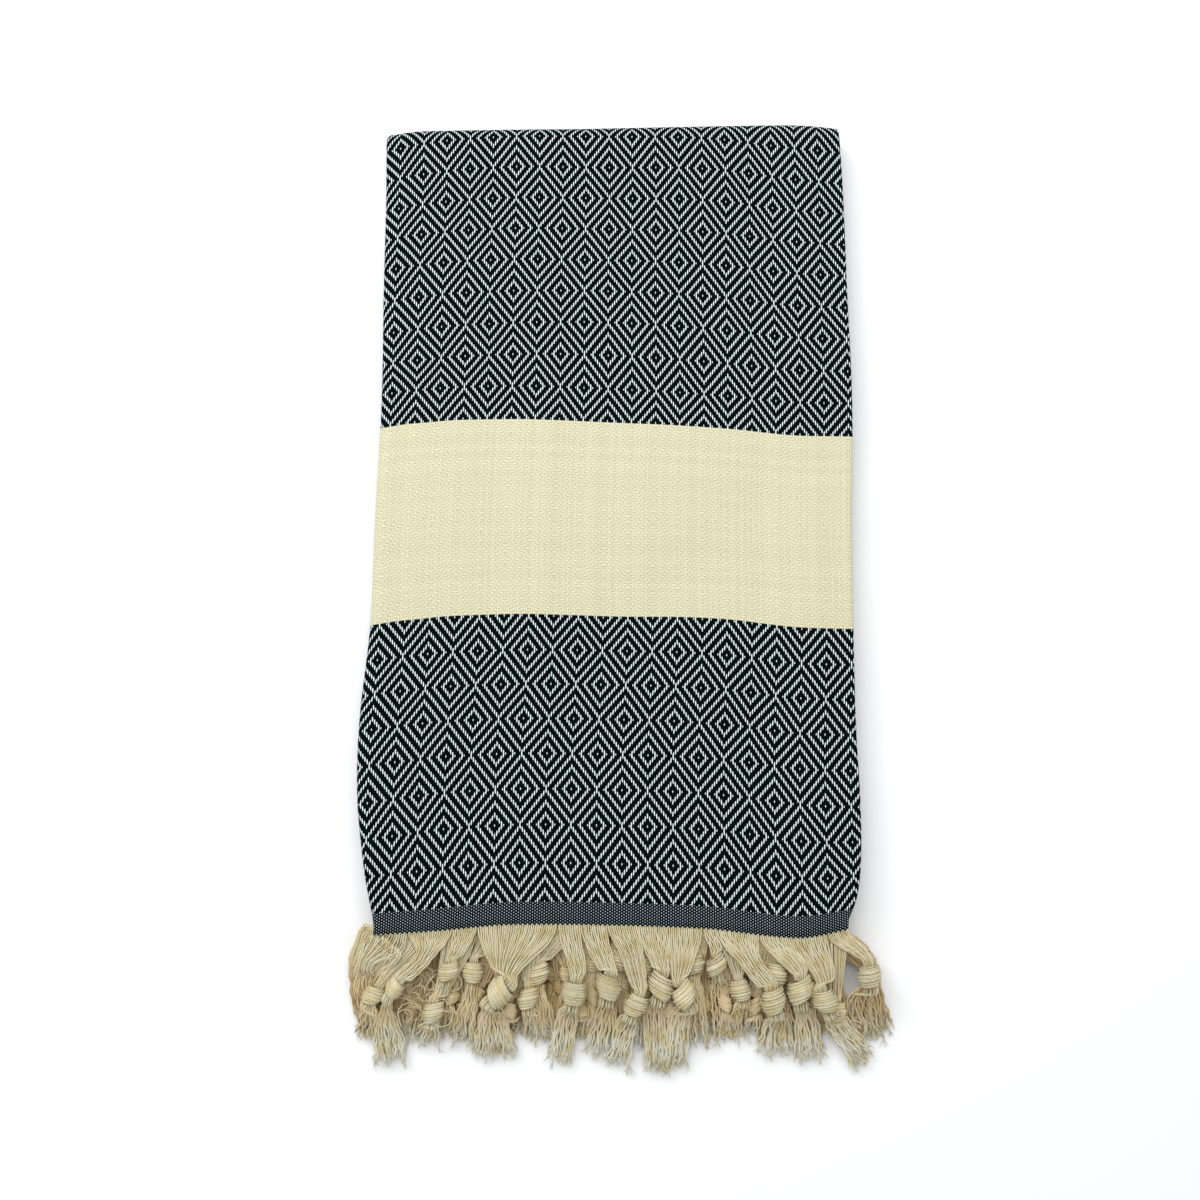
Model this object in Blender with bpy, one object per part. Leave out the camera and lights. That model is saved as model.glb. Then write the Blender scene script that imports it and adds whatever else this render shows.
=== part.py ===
"""A hammam towel, folded in four each way and laid flat, with the knotted fringes of both ends together.

The cloth is one sheet. It is modelled flat, as a thin slab on the loom's two directions, and then folded
four times by one rule: all of the slab that lies past a fold line is bent round a half circle and laid back
on top. Two folds halve the width twice, two more halve the length twice, so sixteen layers lie a little
apart. Last, the stack settles into its real outline.

Each fringe is one body: a narrow strip parted from the hem by a hair, folded with the cloth, whose front
rim is drawn out, cell by cell, into the tassels: a fan of yarn, a knot and a loose tail.

Frame: +Z up, the resting face at z = 0, +Y towards the thick folded edge, -Y towards the fringe, +X to the
right. The origin lies in the middle of the cloth, on its underside.
"""

from math import cos, pi, sin

import bmesh
import bpy
from mathutils import Vector

MM = 0.001

# The cloth and its folds
SHEET = 1.0 * MM  # thickness of the woven cloth
LAYER_GAP = 0.3 * MM  # air between layers that the width folds bring together
FOLD_GAP = 0.4 * MM  # air between layers that the length folds bring together
FACE_WIDTH = 250 * MM  # folded width, from fold to fold
FACE_LENGTH = 425 * MM  # folded length, from the hem to the thick fold
HEM_OVERHANG = 6 * MM  # the hems reach this far past the fold that lies under them
SELVEDGE_INSET = 2 * MM  # the selvedges stop this far short of the fold that covers them
HALF_TURN_STEPS = (3, 4, 5, 7)  # faces round each of the four folds

# The settled stack
LEAN = 1.5 * MM  # the upper layers have slid this far to the left
SPRING = 0.04  # the side folds stand this much higher than the middle

# The fringe
STRIP_GAP = 0.3 * MM  # between the hem and the strip that carries the tassels
STRIP_DEPTH = 2.5 * MM
TASSELS_PER_LAYER = 14  # in each of the four layers of a hem
ROOT_GAP = 1.2 * MM  # between the roots of two tassels
TASSEL_GAP = 0.5 * MM  # between tassels that lie on each other

# Half widths of the stack, on its left and right, at distances from the hem
OUTLINE_COLUMNS = ("from_hem", "left", "right")
OUTLINE = (
    (0.0, 119.0, 115.5),
    (11.0, 122.0, 120.0),
    (28.0, 125.5, 122.5),
    (60.0, 129.0, 123.8),
    (100.0, 128.5, 123.6),
    (156.0, 124.5, 124.0),
    (254.0, 123.4, 126.8),
    (425.0, 124.5, 126.0),
)

# How far the hem sags towards the fringe, at places counted in tassels from the right
HEM_SAG_COLUMNS = ("tassels", "sag")
HEM_SAG = (
    (0, 3.8),
    (1, 7.6),
    (2, 7.0),
    (4, 2.9),
    (7, 0.4),
    (10, 0.0),
    (12, 2.8),
    (14, 4.8),
)

# The uppermost layer's tassels, left to right: where the middle of the knot, the tail and the tip lie
FRONT_COLUMNS = ("knot_x", "knot_from_hem", "tail_x", "tip_x", "tip_from_hem", "tip_width")
FRONT_TASSELS = (
    (-125.0, 24.0, -127.0, -126.0, 52.0, 9.0),
    (-106.0, 31.0, -111.0, -111.0, 67.0, 13.0),
    (-84.0, 27.0, -84.0, -80.0, 58.0, 10.0),
    (-57.0, 35.0, -62.0, -60.0, 66.0, 14.0),
    (-38.0, 32.0, -38.0, -39.0, 64.0, 9.0),
    (-20.0, 35.0, -22.0, -24.0, 68.0, 9.0),
    (-3.0, 31.0, -4.0, -6.0, 67.0, 12.0),
    (12.0, 39.0, 9.0, 7.0, 69.0, 10.0),
    (28.0, 33.0, 27.0, 24.0, 73.0, 12.0),
    (49.0, 25.0, 49.0, 49.0, 58.0, 10.0),
    (76.0, 37.0, 79.0, 80.0, 65.0, 14.0),
    (94.0, 33.0, 97.0, 99.0, 69.0, 10.0),
    (108.0, 39.0, 114.0, 117.0, 68.0, 10.0),
    (124.0, 25.0, 126.0, 130.0, 54.0, 12.0),
)

# One tassel along its length, from the knot's middle: how wide and how thick it is
KNOT_COLUMNS = ("from_knot", "width", "thick")
KNOT = (
    (-7.5, 6.5, 2.5),
    (-4.0, 13.0, 6.0),
    (4.0, 12.0, 6.0),
    (7.5, 6.0, 3.0),
)
FAN_END = (8.0, 13.0, 1.0)  # the fan above the knot: its distance from the hem, width and thickness
TAIL_THICK = 2.6
TIP_THICK = 1.5
FRONT_LIFT = 1.0  # past its fan, an uppermost tassel rides this much clear of those it crosses

# A tassel of a covered layer, flattened by those above it, at distances from the hem: its width, how much
# further from the middle than its root it lies, and whether its stagger moves the row
COVERED_COLUMNS = ("from_hem", "width", "spread", "staggered")
COVERED = (
    (8.0, 13.0, 1.0, 0),
    (21.0, 6.5, 1.03, 0),
    (26.0, 10.5, 1.04, 1),
    (35.0, 10.0, 1.06, 1),
    (40.0, 5.5, 1.07, 0),
    (62.0, 7.5, 1.11, 1),
)
STAGGER = 2.5  # knots of covered tassels lie this far up or down from each other
DRIFT = 3.0  # their tips stray this far sideways

ROW_COLUMNS = ("from_hem", "x", "width", "thick")  # what a tassel's worked-out rows hold
TOP_LEVEL = 7  # the uppermost of the eight layers of tassels, counted from 0

# The pile of tassels, at distances from the hem: the step from one layer of tassels up to the next,
# and the share of its drop from the hem that a layer has made
PILE_COLUMNS = ("from_hem", "step", "dropped")
NECKS_AT = 21.0  # the fans end and the knots may start here
KNOTS_END = 40.0
PILE = (
    (0.0, 1.3, 0.0),
    (8.0, 1.5, 0.08),
    (NECKS_AT, 2.2, 1.0),
    (KNOTS_END, 2.2, 1.0),
    (75.0, 0.9, 1.0),
)

# The colours of the yarn
BLACK_YARN = (0.045, 0.05, 0.055, 1)
CREAM_YARN = (0.76, 0.66, 0.46, 1)

# What follows from the sizes above: each fold turns a slab of the layers before it
REACH_1 = SHEET + LAYER_GAP / 2
DEPTH_2 = 2 * SHEET + LAYER_GAP
REACH_2 = DEPTH_2 + LAYER_GAP / 2
DEPTH_3 = 2 * DEPTH_2 + LAYER_GAP
REACH_3 = DEPTH_3 + FOLD_GAP / 2
DEPTH_4 = 2 * DEPTH_3 + FOLD_GAP
REACH_4 = DEPTH_4 + FOLD_GAP / 2
STACK_HEIGHT = 2 * DEPTH_4 + FOLD_GAP
LINE_2 = FACE_WIDTH - REACH_2
HALF_WIDTH = 2 * LINE_2 + pi * REACH_2
LINE_1 = HALF_WIDTH - REACH_1
CLOTH_WIDTH = 2 * LINE_1 + pi * REACH_1
LINE_4 = FACE_LENGTH - HEM_OVERHANG - REACH_4
HALF_LENGTH = 2 * LINE_4 + pi * REACH_4 + HEM_OVERHANG
LINE_3 = HALF_LENGTH - REACH_3
CLOTH_LENGTH = 2 * LINE_3 + pi * REACH_3
HEM_Y = -FACE_LENGTH / 2
TASSEL_PITCH = (LINE_2 - SELVEDGE_INSET) / TASSELS_PER_LAYER


def read_off(table, columns, x, wanted):
    """The value in the wanted column at x, which is in the first column, on straight lines between rows."""
    column = columns.index(wanted)
    if x <= table[0][0]:
        return table[0][column]
    for before, after in zip(table, table[1:]):
        if x <= after[0]:
            share = (x - before[0]) / (after[0] - before[0])
            return before[column] + share * (after[column] - before[column])
    return table[-1][column]


def named_rows(table, columns):
    """The table's rows, each value under its column's name."""
    return [dict(zip(columns, row)) for row in table]


def fold_over(along, height, line, reach):
    """A point of a slab whose part past the line is bent round a half circle and laid back on top."""
    past = along - line
    if past <= 0:
        return along, height
    turn = past / reach
    if turn < pi:
        radius = reach - height
        return line + radius * sin(turn), reach - radius * cos(turn)
    return line - (past - pi * reach), 2 * reach - height


def outline_at(y, side):
    """The half width of the stack on one side, where its level layers are y from the middle."""
    from_hem = (y - HEM_Y) / MM
    return read_off(OUTLINE, OUTLINE_COLUMNS, from_hem, side) * MM


def settle(x, y, z):
    """The folded stack, drawn into its real outline, slid a little and raised along its side folds."""
    side = x / (FACE_WIDTH / 2)
    slide = LEAN * (0.5 - z / STACK_HEIGHT)
    raised = 1 + SPRING * (abs(side) ** 3 - 0.5)
    wide = outline_at(y, "right" if side > 0 else "left")
    return side * wide + slide, y, z * raised


def laid_up(across, down, height):
    """A point of the flat cloth, moved to where the four folds put it."""
    x, z = fold_over(across, height, LINE_1, REACH_1)
    x, z = fold_over(x, z, LINE_2, REACH_2)
    x, z = FACE_WIDTH - x, DEPTH_3 - z
    y, z = fold_over(down, z, LINE_3, REACH_3)
    y, z = fold_over(HALF_LENGTH - y, z, LINE_4, REACH_4)
    return x - FACE_WIDTH / 2, y + HEM_OVERHANG + HEM_Y, z


def tassels_from_right(x):
    """A place across the face, before the stack settles, counted in tassels from the right."""
    return (FACE_WIDTH / 2 - x - SELVEDGE_INSET) / TASSEL_PITCH


def hem_sag(across):
    """How far the hem sags towards the fringe at a point across the flat cloth."""
    tassels = tassels_from_right(laid_up(across, 0, 0)[0])
    return read_off(HEM_SAG, HEM_SAG_COLUMNS, tassels, "sag") * MM


def sag_stops():
    """The places along one level layer where the hem's sag changes."""
    return [SELVEDGE_INSET + row[0] * TASSEL_PITCH for row in HEM_SAG[1:-1]]


def fold_stops(line, reach, steps):
    """Places round one fold, both of its ends among them."""
    return [line + pi * reach * step / steps for step in range(steps + 1)]


def across_stops(level_stops):
    """All places across the flat cloth, from those on one level layer, which every other layer repeats."""
    quarter = level_stops + fold_stops(LINE_2, REACH_2, HALF_TURN_STEPS[1])
    half = [SELVEDGE_INSET] + quarter + [HALF_WIDTH - stop for stop in reversed(level_stops)]
    middle = fold_stops(LINE_1, REACH_1, HALF_TURN_STEPS[0])
    return half + middle + [CLOTH_WIDTH - stop for stop in reversed(half)]


def down_stops():
    """All places down the flat cloth: rows at the outline's own distances, and round the folds."""
    under_hem = HEM_OVERHANG + REACH_3
    rows = [row[0] * MM for row in OUTLINE if under_hem + MM < row[0] * MM < LINE_4]
    upper = [0, under_hem] + rows
    turn = [HALF_LENGTH - stop for stop in reversed(fold_stops(LINE_4, REACH_4, HALF_TURN_STEPS[3]))]
    lower = [HALF_LENGTH + HEM_OVERHANG - row for row in reversed(rows)]
    half = upper + turn + lower
    middle = fold_stops(LINE_3, REACH_3, HALF_TURN_STEPS[2])
    return half + middle + [CLOTH_LENGTH - stop for stop in reversed(half)]


def make_material(name, colour, roughness):
    material = bpy.data.materials.new(name)
    material.use_nodes = True
    shader = material.node_tree.nodes["Principled BSDF"]
    shader.inputs["Base Color"].default_value = colour
    shader.inputs["Roughness"].default_value = roughness
    shader.inputs["Metallic"].default_value = 0
    return material


def flat_slab(stops_across, stops_down):
    """A flat slab as thick as the cloth, with its points on the given places."""
    slab = bmesh.new()
    cells_across = len(stops_across) - 1
    cells_down = len(stops_down) - 1
    bmesh.ops.create_grid(slab, x_segments=cells_across, y_segments=cells_down, size=0.5)
    for vert in slab.verts:
        vert.co.x = stops_across[round((vert.co.x + 0.5) * cells_across)]
        vert.co.y = stops_down[round((vert.co.y + 0.5) * cells_down)]
    grown = bmesh.ops.extrude_face_region(slab, geom=slab.faces[:])
    for item in grown["geom"]:
        if isinstance(item, bmesh.types.BMVert):
            item.co.z = SHEET
    return slab


def fold_slab(slab):
    for vert in slab.verts:
        vert.co = settle(*laid_up(*vert.co))


def finish_object(name, shape, material):
    bmesh.ops.recalc_face_normals(shape, faces=shape.faces[:])
    mesh = bpy.data.meshes.new(name)
    shape.to_mesh(mesh)
    shape.free()
    mesh.materials.append(material)
    piece = bpy.data.objects.new(name, mesh)
    bpy.context.scene.collection.objects.link(piece)
    return piece


def make_cloth(material):
    """The whole cloth, folded, with both hems sagging."""
    slab = flat_slab(across_stops(sag_stops()), down_stops())
    for vert in slab.verts:
        if vert.co.y < MM:
            vert.co.y -= hem_sag(vert.co.x)
        elif vert.co.y > CLOTH_LENGTH - MM:
            vert.co.y += hem_sag(vert.co.x)
    fold_slab(slab)
    return finish_object("cloth", slab, material)


def pile_bottom(level, from_hem):
    """The underside of one layer of tassels, counted from the floor up, at a distance from the hem."""
    step = read_off(PILE, PILE_COLUMNS, from_hem, "step") * MM
    dropped = read_off(PILE, PILE_COLUMNS, from_hem, "dropped")
    return (1 - dropped) * (STACK_HEIGHT + FOLD_GAP) / 2 + level * step


def front_tassel(index, root_x):
    """Rows of distance from the hem, x, width and thickness along one tassel of the uppermost layer."""
    tassel = named_rows(FRONT_TASSELS, FRONT_COLUMNS)[index]
    knot_x = tassel["knot_x"]
    knot_at = tassel["knot_from_hem"]
    tip_at = tassel["tip_from_hem"]
    fan_at, fan_width, fan_thick = FAN_END
    rows = [(fan_at, root_x + (knot_x - root_x) * fan_at / knot_at, fan_width, fan_thick)]
    for part in named_rows(KNOT, KNOT_COLUMNS):
        rows.append((knot_at + part["from_knot"], knot_x, part["width"], part["thick"]))
    rows.append(((rows[-1][0] + tip_at) / 2, tassel["tail_x"], 0.8 * tassel["tip_width"], TAIL_THICK))
    rows.append((tip_at, tassel["tip_x"], tassel["tip_width"], TIP_THICK))
    for bend_at in (NECKS_AT, KNOTS_END):
        if bend_at not in [row[0] for row in rows]:
            between = [read_off(rows, ROW_COLUMNS, bend_at, name) for name in ROW_COLUMNS[1:]]
            rows.append((bend_at, *between))
            rows.sort()
    return rows


def covered_tassel(index, level, root_x):
    """The same rows along one tassel of a covered layer, its knot and tip strayed a little by rule."""
    stagger = STAGGER * sin(2.1 * index + 1.3 * level)
    drift = DRIFT * sin(1.7 * index + 2.3 * level)
    tip_at = COVERED[-1][0]
    rows = []
    for part in named_rows(COVERED, COVERED_COLUMNS):
        from_hem = part["from_hem"] + stagger * part["staggered"]
        strayed = drift * max(part["from_hem"] - NECKS_AT, 0) / (tip_at - NECKS_AT)
        room = (pile_bottom(level + 1, from_hem) - pile_bottom(level, from_hem)) / MM
        rows.append((from_hem, root_x * part["spread"] + strayed, part["width"], room - TASSEL_GAP / MM))
    return rows


def draw_out(shape, root, rows, level):
    """Pull a root on the strip's rim out through the rows of one tassel.

    The fan spreads in line with the hem, and the knot and the tail lie square to the way they run.
    """
    ends = sorted((vert.co.x, vert.co.y) for vert in root.verts)
    along_hem = (Vector(ends[-1]) - Vector(ends[0])).normalized()
    last = root.calc_center_median().xy
    hem_y = last.y + STRIP_GAP + STRIP_DEPTH
    face = root
    for from_hem, x, width, thick in rows:
        here = Vector((x * MM, hem_y - from_hem * MM))
        heading = (here - last).normalized()
        sideways = Vector((-heading.y, heading.x))
        if from_hem <= rows[0][0]:
            sideways = along_hem
        elif from_hem <= NECKS_AT:
            sideways = Vector((1, 0))
        face = bmesh.ops.extrude_discrete_faces(shape, faces=[face])["faces"][0]
        middle = face.calc_center_median()
        corners = [(vert, vert.co.x > middle.x, vert.co.z > middle.z) for vert in face.verts]
        for vert, is_right, is_upper in corners:
            edge = here + sideways * width * MM * (0.5 if is_right else -0.5)
            reached = from_hem if from_hem <= NECKS_AT else (hem_y - edge.y) / MM
            bottom = pile_bottom(level, reached)
            if level == TOP_LEVEL and from_hem > rows[0][0]:
                bottom += FRONT_LIFT * MM
            vert.co = (edge.x, edge.y, bottom + thick * MM if is_upper else bottom)
        last = here


def make_fringe(name, hem_down, outward, material):
    """The fringe of one hem. The cloth starts or ends at hem_down, and outward is -1 or 1 in turn."""
    near = hem_down + outward * STRIP_GAP
    rim = near + outward * STRIP_DEPTH
    level_stops = sag_stops()
    for index in range(TASSELS_PER_LAYER):
        start = SELVEDGE_INSET + index * TASSEL_PITCH
        level_stops += [start + ROOT_GAP / 2, start + TASSEL_PITCH - ROOT_GAP / 2]
    shape = flat_slab(across_stops(sorted(level_stops)), sorted((near, rim)))

    roots = []
    for face in shape.faces:
        across = [vert.co.x for vert in face.verts]
        on_rim = all(abs(vert.co.y - rim) < STRIP_GAP for vert in face.verts)
        if on_rim and max(across) - min(across) > TASSEL_PITCH / 2:
            x, _, z = laid_up(*face.calc_center_median())
            from_right = int(tassels_from_right(x))
            level = int((z - STACK_HEIGHT / 2) / (STACK_HEIGHT / 16))
            roots.append((face, TASSELS_PER_LAYER - 1 - from_right, level))

    for vert in shape.verts:
        vert.co.y += outward * hem_sag(vert.co.x)
    fold_slab(shape)
    for face, index, level in roots:
        root_x = face.calc_center_median().x / MM
        is_front = level == TOP_LEVEL
        rows = front_tassel(index, root_x) if is_front else covered_tassel(index, level, root_x)
        draw_out(shape, face, rows, level)
    bmesh.ops.triangulate(shape, faces=shape.faces[:], quad_method="SHORT_EDGE")
    return finish_object(name, shape, material)


def main():
    for old in list(bpy.data.objects):
        bpy.data.objects.remove(old)
    black = make_material("black_cotton_weave", BLACK_YARN, 0.9)
    cream = make_material("cream_cotton_yarn", CREAM_YARN, 0.85)
    make_cloth(black)
    make_fringe("fringe_front", 0, -1, cream)
    make_fringe("fringe_back", CLOTH_LENGTH, 1, cream)


main()
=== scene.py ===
# %% [markdown]
# A hammam towel, folded and laid flat: cotton, about one metre by 1.7 m, black weft over cream warp in a
# diamond twill, with a wide cream band near each end and the warp ends knotted into a fringe. It is folded in
# four each way, so both fringes lie together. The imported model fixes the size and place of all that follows.

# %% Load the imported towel
import random
from math import ceil, cos, pi, sin, sqrt, tau

import bmesh
import bpy
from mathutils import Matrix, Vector


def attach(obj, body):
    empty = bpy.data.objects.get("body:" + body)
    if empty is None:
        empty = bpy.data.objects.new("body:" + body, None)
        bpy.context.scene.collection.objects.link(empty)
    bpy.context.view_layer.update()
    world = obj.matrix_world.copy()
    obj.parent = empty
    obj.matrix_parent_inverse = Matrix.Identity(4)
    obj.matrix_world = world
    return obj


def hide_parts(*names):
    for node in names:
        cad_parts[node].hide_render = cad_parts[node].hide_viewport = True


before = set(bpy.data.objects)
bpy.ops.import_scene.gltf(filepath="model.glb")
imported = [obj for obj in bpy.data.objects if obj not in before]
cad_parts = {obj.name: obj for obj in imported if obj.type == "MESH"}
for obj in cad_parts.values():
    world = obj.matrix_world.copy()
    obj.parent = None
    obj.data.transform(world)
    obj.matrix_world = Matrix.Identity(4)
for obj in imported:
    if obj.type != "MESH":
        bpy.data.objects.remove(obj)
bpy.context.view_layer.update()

# %% [markdown]
# The camera stands almost straight above the towel, a little on the fringe's side. The rows of diamonds
# give its height: they shrink by about a tenth from the fringe to the thick fold.

# %% Stand the camera over the towel
scene = bpy.context.scene
MM = 0.001
CAMERA_AT = Vector((-7.2, -173.7, 679.6)) * MM
LOOKS_AT = Vector((-7.2, -51.6, 20.8)) * MM  # a place on the cloth
FOCAL_LENGTH, SENSOR_WIDTH = 39, 36  # in mm


def new_object(name, data, *materials):
    """A new object at the origin, with its materials."""
    thing = bpy.data.objects.new(name, data)
    scene.collection.objects.link(thing)
    for material in materials:
        data.materials.append(material)
    return thing


def aim(thing, target):
    """Turn a camera or a light to its target."""
    thing.rotation_euler = (Vector(target) - thing.location).to_track_quat("-Z", "Y").to_euler()


lens = bpy.data.cameras.new("camera")
lens.lens = FOCAL_LENGTH
lens.sensor_width = SENSOR_WIDTH
camera = new_object("camera", lens)
camera.location = CAMERA_AT
aim(camera, LOOKS_AT)
scene.camera = camera
print("camera", round((CAMERA_AT - LOOKS_AT).length, 3), "m from the cloth")

# %% [markdown]
# The towel lies on a plain pale floor. A wide soft light overhead and a pale sky leave only faint shadows,
# and a second light from the far left gives the knots a lit side.

# %% Lay the floor and hang the lights
FLOOR_COLOUR = (0.97, 0.97, 0.97, 1)
FLOOR_REACH = 4  # half the floor's width, in metres
SKY_COLOUR = (0.95, 0.98, 1, 1)
SKY_STRENGTH = 0.58


def new_material(name):
    """A material, its node tree and its surface."""
    material = bpy.data.materials.new(name)
    material.use_nodes = True
    return material, material.node_tree, material.node_tree.nodes["Principled BSDF"]


def plain_material(name, colour, roughness):
    """A material of one even colour."""
    material, _, shader = new_material(name)
    shader.inputs["Base Color"].default_value = colour
    shader.inputs["Roughness"].default_value = roughness
    return material


def soft_light(name, size, power, place, target):
    """A round light, so many metres wide and so many watts strong."""
    lamp = bpy.data.lights.new(name, "AREA")
    lamp.shape = "DISK"
    lamp.size = size
    lamp.energy = power
    light = new_object(name, lamp)
    light.location = place
    aim(light, target)


plane = bmesh.new()
bmesh.ops.create_grid(plane, x_segments=1, y_segments=1, size=FLOOR_REACH)
floor_mesh = bpy.data.meshes.new("floor")
plane.to_mesh(floor_mesh)
plane.free()
floor = new_object("floor", floor_mesh, plain_material("pale_floor", FLOOR_COLOUR, 0.8))

sky = bpy.data.worlds.new("sky")
sky.use_nodes = True
background = sky.node_tree.nodes["Background"]
background.inputs["Color"].default_value = SKY_COLOUR
background.inputs["Strength"].default_value = SKY_STRENGTH
scene.world = sky
scene.view_settings.view_transform = "Standard"
soft_light("overhead", 1.2, 11, (-0.1, 0.4, 1.2), (0, 0, 0))
soft_light("far_left", 0.5, 5, (-0.9, 0.8, 1.2), (0, -0.1, 0))
print("a floor and", len(bpy.data.lights), "lights")

# %% [markdown]
# The cloth is folded by one rule, four times: all of it past a fold line is bent round a half circle and
# laid back on top. Two folds quarter the width and two more the length. The same sizes made the solids, so
# the sheet lies in their place, layer by layer. At last the stack settles into its real outline, with its
# upper layers slid to the left.

# %% Fold one point of the cloth
SHEET = 1.0 * MM  # the thickness of the cloth
LAYER_GAP = 0.3 * MM  # the air between layers in the first two folds
FOLD_GAP = 0.4 * MM  # the air between them in the last two
FACE_WIDTH = 250 * MM
FACE_LENGTH = 425 * MM
HEM_OVERHANG = 6 * MM  # the hems reach this far past the fold under them
SELVEDGE_INSET = 2 * MM  # the selvedges lie this far inside a fold
LEAN = 1.5 * MM  # how far the top of the stack slides over its foot
SPRING = 0.04  # the share by which the stack is higher at its side folds

# For each fold: how far its half circle reaches, how deep the bent stack gets, and where its line lies
REACH_1 = SHEET + LAYER_GAP / 2
DEPTH_2 = 2 * SHEET + LAYER_GAP
REACH_2 = DEPTH_2 + LAYER_GAP / 2
DEPTH_3 = 2 * DEPTH_2 + LAYER_GAP
REACH_3 = DEPTH_3 + FOLD_GAP / 2
DEPTH_4 = 2 * DEPTH_3 + FOLD_GAP
REACH_4 = DEPTH_4 + FOLD_GAP / 2
STACK_HEIGHT = 2 * DEPTH_4 + FOLD_GAP
LINE_2 = FACE_WIDTH - REACH_2
HALF_WIDTH = 2 * LINE_2 + pi * REACH_2
LINE_1 = HALF_WIDTH - REACH_1
CLOTH_WIDTH = 2 * LINE_1 + pi * REACH_1
LINE_4 = FACE_LENGTH - HEM_OVERHANG - REACH_4
HALF_LENGTH = 2 * LINE_4 + pi * REACH_4 + HEM_OVERHANG
LINE_3 = HALF_LENGTH - REACH_3
CLOTH_LENGTH = 2 * LINE_3 + pi * REACH_3
HEM_Y = -FACE_LENGTH / 2


def fold_over(along, height, line, reach):
    """A point, bent round a half circle and laid back on top if it lies past the line."""
    past = along - line
    if past <= 0:
        return along, height
    turn = past / reach
    if turn < pi:
        radius = reach - height
        return line + radius * sin(turn), reach - radius * cos(turn)
    return line - (past - pi * reach), 2 * reach - height


def laid_up(across, down, height):
    """A point of the flat cloth, moved to where the four folds put it."""
    x, z = fold_over(across, height, LINE_1, REACH_1)
    x, z = fold_over(x, z, LINE_2, REACH_2)
    x, z = FACE_WIDTH - x, DEPTH_3 - z
    y, z = fold_over(down, z, LINE_3, REACH_3)
    y, z = fold_over(HALF_LENGTH - y, z, LINE_4, REACH_4)
    return x - FACE_WIDTH / 2, y + HEM_OVERHANG + HEM_Y, z


print("flat cloth in mm:", round(CLOTH_WIDTH / MM, 1), "x", round(CLOTH_LENGTH / MM, 1))
print("stack height in mm:", round(STACK_HEIGHT / MM, 1))

# %% [markdown]
# A folded towel is never square. These short tables hold what the photo shows, in millimetres. A smooth
# curve is read off between their rows, so that no kink shows along an edge.

# %% Tables of the uneven stack
# Half widths of the stack to either side, at distances from the hem
OUTLINE_LEFT = (
    (0, 119), (11, 122), (28, 125.5), (60, 129), (100, 128.5), (156, 124.5), (254, 123.4), (425, 124.5),
)
OUTLINE_RIGHT = (
    (0, 115.5), (11, 120), (28, 122.5), (60, 123.8), (100, 123.6), (156, 124), (254, 126.8), (425, 126),
)

# How far the hem sags, at places across the face
HEM_SAG = (
    (-125, 7), (-90, 4.8), (-55, 2), (-2, 2.2), (50, 3.9), (72, 6.2), (87, 7.7), (103, 8.1), (125, 4.1),
)

# How far a weft thread is bowed towards the fringe, at places across the face
WEFT_BOW = (
    (-125, 6.4), (-112, 4.2), (-99, 2.7), (-87, 1.2), (-73, 0.3), (-60, -0.3), (-47, -0.8), (-21, -0.7),
    (4, -0.1), (29, 0.8), (54, 2.6), (67, 3.9), (80, 5.7), (93, 7.2), (105, 7.9), (125, 8.4),
)

# How much further towards the fringe a pick lies than by an even count: a distance from the hem, and the
# drift at each place across the face
DRIFT_PLACES = (-110, -55, 0, 55, 110)
PICK_DRIFT = (
    (0, 0, 0, 0, 0, 0), (50, 1, 0, 0, -0.4, 0), (88, 0, 0, 0, -0.4, -0.4),
    (138, -0.4, 0.3, 0.4, -0.5, -0.8), (162, -1, 0, 1.2, -0.7, -0.8), (275, -1, 0.8, 2.4, 3, 2),
    (292, 0.5, 1, 1.7, 2.6, 2), (310, 1, 1.4, 1.1, 2.2, 2.3), (346, 0.5, 1.5, 2, 2, 2.4),
    (392, 2, 2.2, 2.9, 1.8, 3.5), (425, 2.2, 2.4, 3, 2.6, 3.6),
)

# How far the thick fold reaches past its straight line, at places across the face
FOLD_REACH = (
    (-125, 0.9), (-118, 2), (-110, 3.4), (-80, 4.4), (-28, 5.1), (40, 6.6), (90, 7.4), (108, 7), (126, 4.9),
)

# Where the warp's middle lies at distances from the hem
WARP_DRIFT = (
    (0, -9), (46, -8.8), (80, -7.6), (117, -5.7), (152, -4.6), (260, -2.9), (330, -2.2), (425, -1.1),
)


def weights(t):
    """Shares of the start, start slope, end and end slope in a smooth curve, t of the way along."""
    return 2 * t**3 - 3 * t**2 + 1, t**3 - 2 * t**2 + t, 3 * t**2 - 2 * t**3, t**3 - t**2


def held(value, low=0, high=1):
    return max(low, min(high, value))


def read_off(table, x):
    """The value at x on a smooth curve through the table's rows."""
    if x <= table[0][0]:
        return table[0][1]
    if x >= table[-1][0]:
        return table[-1][1]
    k = next(i for i, row in enumerate(table) if x < row[0]) - 1
    (x1, y1), (x2, y2) = table[k], table[k + 1]
    before = table[max(k - 1, 0)]
    after = table[min(k + 2, len(table) - 1)]
    slope_1 = (y2 - before[1]) / (x2 - before[0])
    slope_2 = (after[1] - y1) / (after[0] - x1)
    step = x2 - x1
    a, b, c, d = weights((x - x1) / step)
    return a * y1 + b * step * slope_1 + c * y2 + d * step * slope_2


def pick_drift(x, from_hem):
    """The drift of the picks at a place on the face, in mm."""
    drifts = [read_off([(row[0], row[k + 1]) for row in PICK_DRIFT], from_hem)
              for k in range(len(DRIFT_PLACES))]
    return read_off(list(zip(DRIFT_PLACES, drifts)), x)


def half_width(y, side):
    """The stack's half width on one side, in metres."""
    table = OUTLINE_RIGHT if side > 0 else OUTLINE_LEFT
    return read_off(table, (y - HEM_Y) / MM) * MM


print("half widths at the hem, in mm:", half_width(HEM_Y, -1) / MM, half_width(HEM_Y, 1) / MM)

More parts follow.
